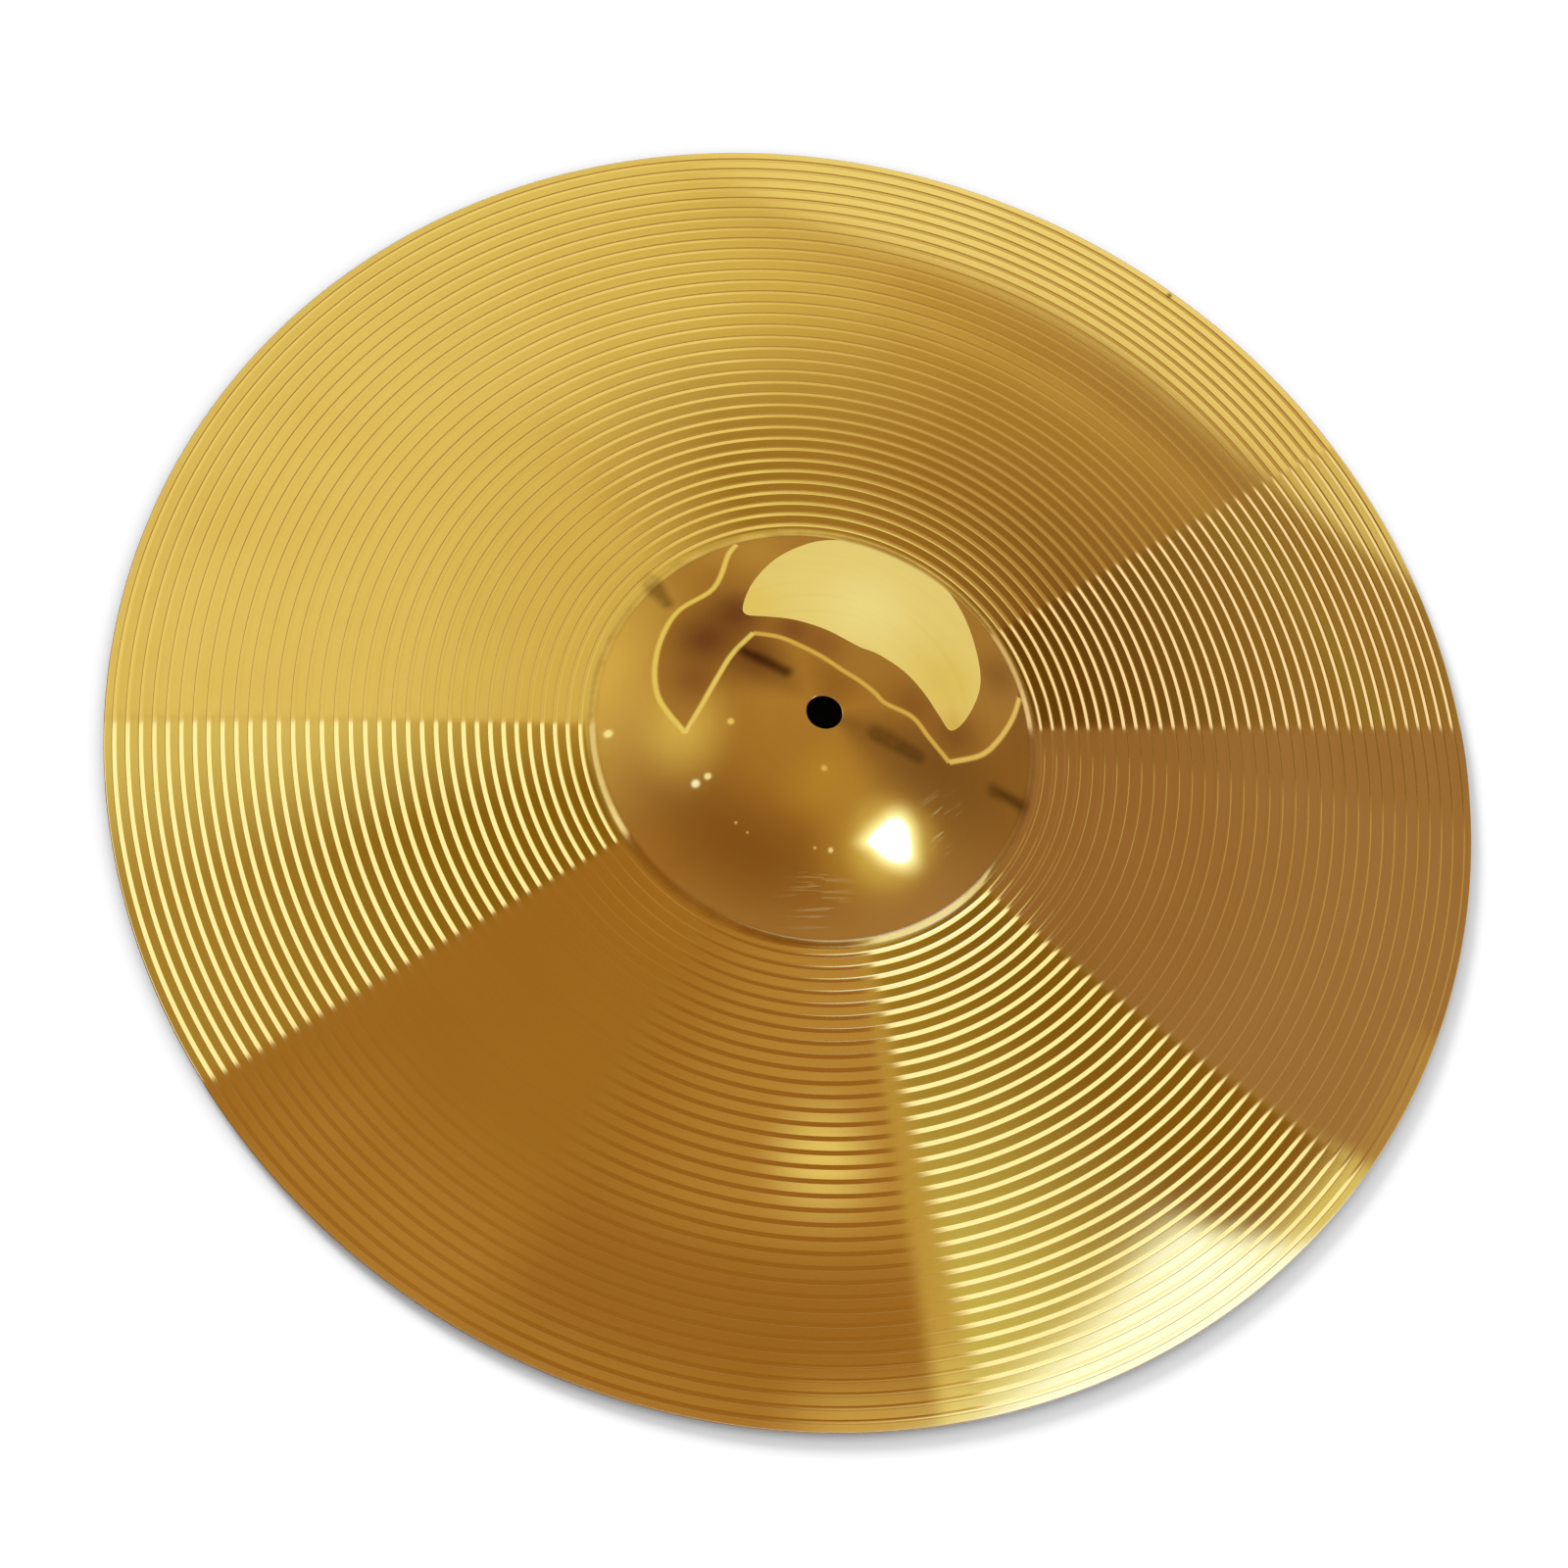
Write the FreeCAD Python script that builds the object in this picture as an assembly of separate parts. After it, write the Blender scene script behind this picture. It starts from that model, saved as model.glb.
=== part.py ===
import FreeCAD, Part

import math
import os

from FreeCAD import Vector

# Crash cymbal: one disc of sheet brass, spun and lathed, with a central hole for the stand's post.
# Frame: millimetres, +Z up along the cymbal's axis, out of the top of the bell.
# The origin is the centre of the hole, half-way through the sheet, so the rim lies below it.
# The half section is drawn in the XZ plane as points (r, z) and turned about Z.

# Sheet and rim
RIM_DIA = 457.2          # outside diameter, the 18 inch size
SHEET = 1.0              # thickness, measured square to the surface

# Mounting hole
HOLE_DIA = 12.0          # clears an 8 mm post in its plastic sleeve
HOLE_BREAK = 0.10        # 45 degree edge break, top and underside, measured along r and along z

# Bell and bow: two spheres centred on the axis, joined by a hollow crease
BELL_DIA = 146.8         # where the upper spheres meet, before the crease is rounded
BELL_TOP_R = 145.0       # sphere of the bell's upper surface
BOW_TOP_R = 1176.0       # sphere of the bow's upper surface
CREASE_TOP_R = 8.0       # hollow radius of the crease, upper surface

# Saw-tooth grooves turned in the upper surface of the bow
GROOVE_COUNT = 35
GROOVE_FIRST_R = 77.3    # foot of the groove nearest the bell
GROOVE_LAST_R = 226.0    # foot of the groove nearest the rim
GROOVE_SAG = 0.6         # shift of the middle groove towards the bell, fading to none at both ends
GROOVE_SWAY = 1.2        # shift to the bell in the inner half, to the rim in the outer half
GROOVE_LONG_WALL = 1.50  # radial width of the gentle wall, which faces the rim
GROOVE_STEEP_WALL = 0.08  # radial width of the steep wall, which faces the bell
GROOVE_DEPTH = 0.32      # depth at the foot, square to the bow

# Number of turned bands in each smooth surface
BELL_BANDS = 14          # upper surface and underside of the bell, each
UNDER_BOW_BANDS = 36     # underside of the bow

# Radii that follow
RIM_R = RIM_DIA / 2.0
HOLE_R = HOLE_DIA / 2.0
HOLE_EDGE_R = HOLE_R + HOLE_BREAK
BELL_EDGE_R = BELL_DIA / 2.0
HALF_SHEET = SHEET / 2.0
BELL_UNDER_R = BELL_TOP_R - SHEET
BOW_MID_R = BOW_TOP_R - HALF_SHEET
BOW_UNDER_R = BOW_TOP_R - SHEET
CREASE_UNDER_R = CREASE_TOP_R + SHEET


def cap_height(sphere_r, r):
    """Height above a sphere's centre of its surface at distance r from the axis."""
    return math.sqrt(sphere_r ** 2 - r ** 2)


# Sphere centres, on the axis. The middle of the sheet is at z = 0 where the hole's edge breaks end.
BELL_CENTRE_Z = -cap_height(BELL_TOP_R - HALF_SHEET, HOLE_EDGE_R)
BELL_EDGE_Z = BELL_CENTRE_Z + cap_height(BELL_TOP_R, BELL_EDGE_R)
BOW_CENTRE_Z = BELL_EDGE_Z - cap_height(BOW_TOP_R, BELL_EDGE_R)


def crease_centre():
    """Centre of the crease's arc. It lies above the sheet, and the arc touches both upper spheres."""
    from_bell = BELL_TOP_R + CREASE_TOP_R
    from_bow = BOW_TOP_R + CREASE_TOP_R
    centre_gap = BELL_CENTRE_Z - BOW_CENTRE_Z
    # Both sphere centres are on the axis, so the height follows from the two distances alone.
    height = (from_bow ** 2 - from_bell ** 2 + centre_gap ** 2) / (2.0 * centre_gap)
    return cap_height(from_bow, height), BOW_CENTRE_Z + height


CREASE_CENTRE_R, CREASE_CENTRE_Z = crease_centre()

# Angles from +Z about the sphere centres
BELL_END_ANGLE = math.atan2(CREASE_CENTRE_R, CREASE_CENTRE_Z - BELL_CENTRE_Z)
BOW_START_ANGLE = math.atan2(CREASE_CENTRE_R, CREASE_CENTRE_Z - BOW_CENTRE_Z)
RIM_ANGLE = math.asin((RIM_R - HALF_SHEET) / BOW_MID_R)


def arc(start, middle, end):
    points = [Vector(r, 0.0, z) for r, z in (start, middle, end)]
    return Part.Arc(*points).toShape()


def line(start, end):
    return Part.makeLine(Vector(start[0], 0.0, start[1]), Vector(end[0], 0.0, end[1]))


def on_sphere(centre_z, radius, angle):
    """Profile point on a sphere centred on the axis, at an angle from +Z."""
    return (radius * math.sin(angle), centre_z + radius * math.cos(angle))


def sphere_arc(centre_z, radius, start, end):
    """Arc of a sphere's section between two angles from +Z."""
    angles = (start, (start + end) / 2.0, end)
    return arc(*[on_sphere(centre_z, radius, angle) for angle in angles])


def sphere_bands(centre_z, radius, start, end, count):
    """The same arc, split into equal bands."""
    step = (end - start) / count
    return [
        sphere_arc(centre_z, radius, start + i * step, start + (i + 1) * step)
        for i in range(count)
    ]


def crease_arc(radius):
    """The crease from the bell to the bow. Angles are from +X about the crease's centre."""
    to_bell = math.atan2(BELL_CENTRE_Z - CREASE_CENTRE_Z, -CREASE_CENTRE_R)
    to_bow = math.atan2(BOW_CENTRE_Z - CREASE_CENTRE_Z, -CREASE_CENTRE_R)
    points = [
        (CREASE_CENTRE_R + radius * math.cos(angle), CREASE_CENTRE_Z + radius * math.sin(angle))
        for angle in (to_bell, (to_bell + to_bow) / 2.0, to_bow)
    ]
    return arc(*points)


def groove_foot_r(i):
    """Distance from the axis of the foot of groove i, counted from the bell."""
    fraction = i / (GROOVE_COUNT - 1.0)
    return (
        GROOVE_FIRST_R
        + (GROOVE_LAST_R - GROOVE_FIRST_R) * fraction
        - GROOVE_SAG * math.sin(math.pi * fraction)
        - GROOVE_SWAY * math.sin(2.0 * math.pi * fraction)
    )


def grooved_bow():
    """Upper surface of the bow, from the crease to the rim: lands with a groove between each two."""
    edges = []
    land_start = BOW_START_ANGLE
    for i in range(GROOVE_COUNT):
        foot_r = groove_foot_r(i)
        inner_lip = math.asin((foot_r - GROOVE_LONG_WALL) / BOW_TOP_R)
        outer_lip = math.asin((foot_r + GROOVE_STEEP_WALL) / BOW_TOP_R)
        foot_angle = math.asin(foot_r / BOW_TOP_R)
        foot = on_sphere(BOW_CENTRE_Z, BOW_TOP_R - GROOVE_DEPTH, foot_angle)
        edges.append(sphere_arc(BOW_CENTRE_Z, BOW_TOP_R, land_start, inner_lip))
        edges.append(line(on_sphere(BOW_CENTRE_Z, BOW_TOP_R, inner_lip), foot))
        edges.append(line(foot, on_sphere(BOW_CENTRE_Z, BOW_TOP_R, outer_lip)))
        land_start = outer_lip
    edges.append(sphere_arc(BOW_CENTRE_Z, BOW_TOP_R, land_start, RIM_ANGLE))
    return edges


def rim_arc():
    """Full round of the rim, from the upper surface to the underside."""
    centre_r, centre_z = on_sphere(BOW_CENTRE_Z, BOW_MID_R, RIM_ANGLE)
    middle = (
        centre_r + HALF_SHEET * math.cos(RIM_ANGLE),
        centre_z - HALF_SHEET * math.sin(RIM_ANGLE),
    )
    top = on_sphere(BOW_CENTRE_Z, BOW_TOP_R, RIM_ANGLE)
    under = on_sphere(BOW_CENTRE_Z, BOW_UNDER_R, RIM_ANGLE)
    return arc(top, middle, under)


def profile():
    """Closed half section: hole, upper surface outwards, rim, then the underside inwards."""
    top_angle = math.asin(HOLE_EDGE_R / BELL_TOP_R)
    under_angle = math.asin(HOLE_EDGE_R / BELL_UNDER_R)
    top_edge = on_sphere(BELL_CENTRE_Z, BELL_TOP_R, top_angle)
    under_edge = on_sphere(BELL_CENTRE_Z, BELL_UNDER_R, under_angle)
    wall_top = (HOLE_R, top_edge[1] - HOLE_BREAK)
    wall_bottom = (HOLE_R, under_edge[1] + HOLE_BREAK)

    edges = [line(wall_bottom, wall_top), line(wall_top, top_edge)]
    edges += sphere_bands(BELL_CENTRE_Z, BELL_TOP_R, top_angle, BELL_END_ANGLE, BELL_BANDS)
    edges.append(crease_arc(CREASE_TOP_R))
    edges += grooved_bow()
    edges.append(rim_arc())
    edges += sphere_bands(
        BOW_CENTRE_Z, BOW_UNDER_R, RIM_ANGLE, BOW_START_ANGLE, UNDER_BOW_BANDS
    )
    edges.append(crease_arc(CREASE_UNDER_R))
    edges += sphere_bands(BELL_CENTRE_Z, BELL_UNDER_R, BELL_END_ANGLE, under_angle, BELL_BANDS)
    edges.append(line(under_edge, wall_bottom))
    return Part.Wire(Part.__sortEdges__(edges))


def build_cymbal():
    solid = Part.Face(profile()).revolve(Vector(0, 0, 0), Vector(0, 0, 1), 360.0)
    # The direction of the profile can leave the solid inside out.
    if solid.Volume < 0:
        solid.reverse()
    return solid


os.makedirs("parts", exist_ok=True)
build_cymbal().exportStep("parts/cymbal.step")
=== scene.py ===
import math
from types import SimpleNamespace

import bmesh
import bpy
import numpy as np
from mathutils import Matrix, Vector


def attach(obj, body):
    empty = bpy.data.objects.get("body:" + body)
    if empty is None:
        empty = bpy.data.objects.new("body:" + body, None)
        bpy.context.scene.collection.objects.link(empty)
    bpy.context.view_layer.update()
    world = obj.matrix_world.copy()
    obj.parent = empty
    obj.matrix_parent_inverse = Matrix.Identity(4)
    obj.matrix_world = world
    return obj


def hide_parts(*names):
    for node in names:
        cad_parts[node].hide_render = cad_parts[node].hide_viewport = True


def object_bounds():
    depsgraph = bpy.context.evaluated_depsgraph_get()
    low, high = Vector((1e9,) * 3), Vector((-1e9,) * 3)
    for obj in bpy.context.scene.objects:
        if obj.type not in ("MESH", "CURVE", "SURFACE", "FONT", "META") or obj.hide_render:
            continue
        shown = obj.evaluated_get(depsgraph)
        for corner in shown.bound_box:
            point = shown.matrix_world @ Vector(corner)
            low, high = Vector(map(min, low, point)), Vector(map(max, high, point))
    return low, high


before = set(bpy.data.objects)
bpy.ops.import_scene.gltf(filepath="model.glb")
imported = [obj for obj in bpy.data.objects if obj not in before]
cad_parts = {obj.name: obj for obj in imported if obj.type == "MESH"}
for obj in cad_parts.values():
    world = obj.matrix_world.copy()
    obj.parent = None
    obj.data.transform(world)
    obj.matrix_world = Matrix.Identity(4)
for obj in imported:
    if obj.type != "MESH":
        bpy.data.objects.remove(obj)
cad_lo, cad_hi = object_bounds()
scene = bpy.context.scene

# ---------------------------------------------------------------- the cymbal's dimensions, metres
R_RIM = 0.2286
SHEET = 0.0010           # thickness
R_HOLE = 0.0060
HOLE_BREAK = 0.00010     # deburred edge of the hole
R_BROKEN = R_HOLE + HOLE_BREAK
R_BELL = 0.0734
BELL_SPHERE = 0.1450     # radii of the upper surface
BOW_SPHERE = 1.1760
CREASE_R = 0.0080        # radius of the crease's section
GROOVES = 35
GROOVE_FIRST = 0.0773    # radii of the innermost and outermost groove
GROOVE_LAST = 0.2260
GROOVE_SAG = 0.0006      # how far the spacing departs from even
GROOVE_SWAY = 0.0012
WALL_OUT = 0.00150       # the long wall of a groove, which faces the rim
WALL_IN = 0.00008        # the short wall, which faces the bell
GROOVE_DEPTH = 0.00032
CORNER = 0.00001         # half the width of a groove's corners
SEGMENTS = 256

# heights of the spheres' centres
Z_BELL = -math.sqrt((BELL_SPHERE - SHEET / 2) ** 2 - R_BROKEN ** 2)
Z_BELL_EDGE = Z_BELL + math.sqrt(BELL_SPHERE ** 2 - R_BELL ** 2)
Z_BOW = Z_BELL_EDGE - math.sqrt(BOW_SPHERE ** 2 - R_BELL ** 2)


def polar(radius, degrees):
    """(x, y) of a point given by its radius and azimuth."""
    return radius * math.cos(math.radians(degrees)), radius * math.sin(math.radians(degrees))


# ---------------------------------------------------------------- the turned profile
# A row of the profile is (r, z, normal r, normal z). Angles are measured from +Z.
def arc_row(centre, radius, angle, side=1.0):
    """Row on an arc. A negative radius gives a hollow; side -1 turns the normal round."""
    sine, cosine = math.sin(angle), math.cos(angle)
    return centre[0] + radius * sine, centre[1] + radius * cosine, side * sine, side * cosine


def arc_rows(centre, radius, start, end, steps, first=0, last=None, side=1.0):
    """Rows first..last of an arc that is cut into steps."""
    last = steps if last is None else last
    return [arc_row(centre, radius, start + (end - start) * i / steps, side)
            for i in range(first, last + 1)]


def groove_rows(number):
    """A long wall that falls towards the rim and a short one that rises again."""
    share = number / (GROOVES - 1.0)
    radius = (GROOVE_FIRST + (GROOVE_LAST - GROOVE_FIRST) * share
              - GROOVE_SAG * math.sin(math.pi * share)
              - GROOVE_SWAY * math.sin(2 * math.pi * share))
    fall = GROOVE_DEPTH / WALL_OUT
    rise = -GROOVE_DEPTH / WALL_IN
    # offset along the surface, depth below it, slope relative to the bow
    stations = [
        (-WALL_OUT - CORNER, 0.0, 0.0),
        (-WALL_OUT + CORNER, 0.000002, fall * 0.80),
        (-WALL_OUT * 0.66, GROOVE_DEPTH * 0.31, fall * 0.98),
        (-WALL_OUT * 0.32, GROOVE_DEPTH * 0.66, fall * 1.10),
        (-CORNER, GROOVE_DEPTH, fall * 0.98),
        (CORNER, GROOVE_DEPTH * 0.97, rise),
        (WALL_IN - CORNER, GROOVE_DEPTH * 0.05, rise),
        (WALL_IN + CORNER, 0.0, 0.0),
    ]
    rows = []
    for offset, depth, slope in stations:
        angle = math.asin((radius + offset) / BOW_SPHERE)
        tilt = angle + math.atan(slope)
        r, z = arc_row((0.0, Z_BOW), BOW_SPHERE - depth, angle)[:2]
        rows.append((r, z, math.sin(tilt), math.cos(tilt)))
    return rows


def profile_rows():
    """Closed loop of rows: wall of the hole, upper surface, rim, underside."""
    bell, bow = (0.0, Z_BELL), (0.0, Z_BOW)

    # the crease touches both spheres: its centre lies CREASE_R outside each of them
    from_bell = BELL_SPHERE + CREASE_R
    from_bow = BOW_SPHERE + CREASE_R
    gap = Z_BELL - Z_BOW
    rise = (from_bow ** 2 - from_bell ** 2 + gap ** 2) / (2 * gap)
    crease = (math.sqrt(from_bow ** 2 - rise ** 2), Z_BOW + rise)
    bell_end = math.atan2(crease[0], crease[1] - Z_BELL)
    bow_start = math.atan2(crease[0], crease[1] - Z_BOW)

    # edges of the hole
    top_start = math.asin(R_BROKEN / BELL_SPHERE)
    under_start = math.asin(R_BROKEN / (BELL_SPHERE - SHEET))
    z_top = Z_BELL + BELL_SPHERE * math.cos(top_start)
    z_under = Z_BELL + (BELL_SPHERE - SHEET) * math.cos(under_start)
    part = HOLE_BREAK * 0.3

    rows = [(R_HOLE, z_under + HOLE_BREAK, -1.0, 0.0),
            (R_HOLE, z_top - HOLE_BREAK, -1.0, 0.0),
            (R_HOLE + part, z_top - part, -0.70, 0.71)]
    # upper surface
    rows += arc_rows(bell, BELL_SPHERE, top_start, bell_end, 31)
    rows += arc_rows(crease, -CREASE_R, bell_end, bow_start, 12, first=1, last=11)
    rows.append(arc_row(bow, BOW_SPHERE, bow_start))
    for number in range(GROOVES):
        rows += groove_rows(number)
    # rim, a full round
    middle = BOW_SPHERE - SHEET / 2
    rim_angle = math.asin((R_RIM - SHEET / 2) / middle)
    rim = arc_row(bow, middle, rim_angle)[:2]
    rows += arc_rows(rim, SHEET / 2, rim_angle, rim_angle + math.pi, 8)
    # underside
    rows += arc_rows(bow, BOW_SPHERE - SHEET, rim_angle, bow_start, 12, 1, 11, side=-1.0)
    rows += arc_rows(crease, -(CREASE_R + SHEET), bow_start, bell_end, 5, side=-1.0)
    rows += arc_rows(bell, BELL_SPHERE - SHEET, bell_end, under_start, 14, first=1, side=-1.0)
    rows.append((R_HOLE + part, z_under + part, -0.70, -0.71))
    return rows


def lathe(name, rows, segments):
    """Mesh of the rows turned round Z, with their normals."""
    rows = np.array(rows)
    count = len(rows)
    turn = np.arange(segments)[:, None] * (2 * math.pi / segments)

    def spun(radial, axial):
        parts = [np.cos(turn) * radial, np.sin(turn) * radial,
                 np.broadcast_to(axial, (segments, count))]
        return np.stack(parts, axis=-1).reshape(-1, 3)

    coords = spun(rows[:, 0], rows[:, 1])
    normals = spun(rows[:, 2], rows[:, 3])
    normals /= np.linalg.norm(normals, axis=1, keepdims=True)
    i = np.arange(segments)[:, None]
    j = np.arange(count)[None, :]
    next_i, next_j = (i + 1) % segments, (j + 1) % count
    quads = np.stack([i * count + j, i * count + next_j,
                      next_i * count + next_j, next_i * count + j], axis=-1).reshape(-1, 4)

    mesh = bpy.data.meshes.new(name)
    mesh.from_pydata(coords.tolist(), [], quads.tolist())
    mesh.polygons.foreach_set("use_smooth", np.ones(len(mesh.polygons), dtype=bool))
    mesh.update()
    mesh.validate()
    mesh.normals_split_custom_set_from_vertices(normals.tolist())
    return mesh


def add_object(name, data):
    added = bpy.data.objects.new(name, data)
    scene.collection.objects.link(added)
    return added


cymbal = add_object("cymbal_turned", lathe("cymbal_turned", profile_rows(), SEGMENTS))
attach(cymbal, "root")
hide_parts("cymbal")

# ---------------------------------------------------------------- colours
BRASS = (0.90, 0.62, 0.155)


def brass(*shares):
    """Brass, with each channel dimmed to its share."""
    return tuple(channel * share for channel, share in zip(BRASS, shares))


def linear(level):
    """Linear light of a display level, 0..255."""
    level /= 255.0
    return level / 12.92 if level <= 0.04045 else ((level + 0.055) / 1.055) ** 2.4


def tone(*display):
    """Light that the brass turns into this display colour."""
    return tuple(linear(level) / channel for level, channel in zip(display, BRASS))


def scaled(factor, colour):
    return tuple(factor * channel for channel in colour)


# ---------------------------------------------------------------- node helpers
class Value:
    """Output of a node. Arithmetic on it adds Math nodes."""

    def __init__(self, net, socket):
        self.net = net
        self.socket = socket

    def math(self, operation, *others, clamp=False):
        return self.net.math(operation, self, *others, clamp=clamp)

    def __add__(self, other):
        return self.math("ADD", other)

    def __radd__(self, other):
        return self.net.math("ADD", other, self)

    def __sub__(self, other):
        return self.math("SUBTRACT", other)

    def __rsub__(self, other):
        return self.net.math("SUBTRACT", other, self)

    def __mul__(self, other):
        return self.math("MULTIPLY", other)

    def __truediv__(self, other):
        return self.math("DIVIDE", other)

    def ramp(self, start, end, low=0.0, high=1.0):
        """Smooth step from low at start to high at end."""
        if start > end:
            start, end, low, high = end, start, high, low
        return self.net.get("ShaderNodeMapRange", "Result", {
            "Value": self, "From Min": start, "From Max": end, "To Min": low, "To Max": high,
        }, interpolation_type="SMOOTHSTEP", clamp=True)

    def band(self, start, end, soft):
        """1 inside start..end; each edge reaches soft to both sides."""
        return self.ramp(start - soft, start + soft) * self.ramp(end + soft, end - soft)

    def stops(self, *rows, light=tone):
        """Colour blended between rows of (value, red, green, blue), in display levels."""
        low, high = rows[0][0], rows[-1][0]
        share = (self - low).math("DIVIDE", high - low, clamp=True)
        node = self.net.node("ShaderNodeValToRGB", {"Fac": share})
        cells = node.color_ramp.elements
        for at, *display in rows[1:-1]:
            cells.new((at - low) / (high - low)).color = (*light(*display), 1.0)
        cells[0].color = (*light(*rows[0][1:]), 1.0)
        cells[-1].color = (*light(*rows[-1][1:]), 1.0)
        return Value(self.net, node.outputs["Color"])

    def noise(self, scale, detail, roughness):
        return self.net.get("ShaderNodeTexNoise", "Fac", {
            "Vector": self, "Scale": scale, "Detail": detail, "Roughness": roughness})

    def split(self):
        node = self.net.node("ShaderNodeSeparateXYZ", {0: self})
        return [Value(self.net, output) for output in node.outputs]

    def vector_math(self, operation, other=None, output="Vector"):
        inputs = {0: self} if other is None else {0: self, 1: other}
        return self.net.get("ShaderNodeVectorMath", output, inputs, operation=operation)


class Net:
    """Builds a node tree from nothing."""

    def __init__(self, tree):
        self.tree = tree
        tree.nodes.clear()

    def node(self, kind, inputs=(), **settings):
        count = len(self.tree.nodes)
        node = self.tree.nodes.new(kind)
        node.location = (220 * (count % 12), -180 * (count // 12))
        for name, setting in settings.items():
            setattr(node, name, setting)
        for key, value in dict(inputs).items():
            self.put(node.inputs[key], value)
        return node

    def get(self, kind, output, inputs=(), **settings):
        """Add a node and return one of its outputs."""
        return Value(self, self.node(kind, inputs, **settings).outputs[output])

    def put(self, socket, value):
        if isinstance(value, Value):
            self.tree.links.new(value.socket, socket)
        elif socket.type == "RGBA":
            socket.default_value = (*value, 1.0)
        else:
            socket.default_value = value

    def math(self, operation, *values, clamp=False):
        return self.get("ShaderNodeMath", 0, enumerate(values),
                        operation=operation, use_clamp=clamp)

    def vector(self, x, y, z=0.0):
        return self.get("ShaderNodeCombineXYZ", 0, {0: x, 1: y, 2: z})

    def metal(self, **inputs):
        """Metallic Principled shader; underscores in the input names stand for spaces."""
        named = {name.replace("_", " "): value for name, value in inputs.items()}
        return self.get("ShaderNodeBsdfPrincipled", 0, {"Metallic": 1.0, **named})

    def bump(self, height, strength, distance):
        return self.get("ShaderNodeBump", 0, {
            "Height": height, "Strength": strength, "Distance": distance})

    def surface(self, shader, kind="ShaderNodeOutputMaterial"):
        self.node(kind, {"Surface": shader})


def new_material(name):
    material = bpy.data.materials.new(name)
    material.use_nodes = True
    return material, Net(material.node_tree)


def mix(mask, under, over):
    node = mask.net.node("ShaderNodeMix", data_type="RGBA")
    mask.net.put(node.inputs["Factor"], mask)
    colours = [socket for socket in node.inputs if socket.type == "RGBA"]
    mask.net.put(colours[0], under)
    mask.net.put(colours[1], over)
    return Value(mask.net, [out for out in node.outputs if out.type == "RGBA"][0])


def layers(base, *pairs):
    """The base under layers of (mask, colour), the last on top."""
    for mask, colour in pairs:
        base = mix(mask, base, colour)
    return base


def mix_shader(share, first, second):
    return share.net.get("ShaderNodeMixShader", 0, {0: share, 1: first, 2: second})


def length(x, y):
    return (x * x + y * y).math("SQRT")


# ---------------------------------------------------------------- brass
DENT = polar(R_RIM * 0.701, 247.3)    # shallow dent in the bow
NICK = polar(R_RIM * 0.992, 77.4)     # dark nick in the rim

# smudges on the bell: x, y of both ends and half-width in shares of R_RIM, then strength
SMUDGES = (
    (-0.140, 0.043, -0.074, 0.035, 0.018, 0.90),
    (0.078, 0.004, 0.146, 0.004, 0.017, 0.48),
    (0.266, 0.026, 0.310, 0.034, 0.022, 0.80),
    (-0.303, 0.116, -0.268, 0.086, 0.018, 0.62),
)


def brass_marks(net):
    """Places on the disc, and the noises that its colour and its shaders share."""
    place = net.get("ShaderNodeTexCoord", "Object")
    x, y, _ = place.split()
    radius = length(x, y)
    angle = y.math("ARCTAN2", x)
    bell = radius.ramp(R_BELL - 0.0008, R_BELL - 0.0020)    # polished up to the crease
    normal = net.get("ShaderNodeNewGeometry", "True Normal")

    def ringed(along, drift):
        """Noise place read along the radius, drifting slowly round the disc."""
        return net.vector(along, angle.math("SINE") * drift, angle.math("COSINE") * drift)

    rings = ringed(radius, 0.0020)
    return SimpleNamespace(
        place=place, x=x, y=y, radius=radius, bell=bell, bow=1.0 - bell,
        upper=normal.split()[2].ramp(-0.05, 0.05),    # marks of use lie on the upper side only
        # concentric tool marks, and the same broken up into short grain
        fine=rings.noise(scale=2300.0, detail=3.0, roughness=0.62),
        coarse=rings.noise(scale=420.0, detail=2.0, roughness=0.5),
        grain=ringed(radius * 6.0, 0.22).noise(scale=340.0, detail=3.0, roughness=0.65),
        cloud=place.noise(scale=11.0, detail=3.0, roughness=0.5),
        mottle=place.noise(scale=46.0, detail=4.0, roughness=0.6),
        smear=place.noise(scale=24.0, detail=2.0, roughness=0.5))


def spot(marks, centre, reach):
    """1 at a point of the upper side, fading to 0 at reach."""
    distance = length(marks.x - centre[0], marks.y - centre[1])
    return distance.ramp(reach, 0.0) * marks.upper


def smudge(marks, ends, wide, strength):
    """Mask of a soft streak between two points, broken up by the smears."""
    start_x, start_y, end_x, end_y = ends
    run_x, run_y = end_x - start_x, end_y - start_y
    from_x, from_y = marks.x - start_x, marks.y - start_y
    along = (from_x * run_x + from_y * run_y).math(
        "DIVIDE", run_x * run_x + run_y * run_y, clamp=True)
    distance = length(from_x - along * run_x, from_y - along * run_y)
    streak = (distance + (marks.smear - 0.5) * (wide * 2.0)).ramp(wide, wide * 0.15)
    return streak * marks.mottle.ramp(0.25, 0.55) * marks.upper * strength


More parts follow.
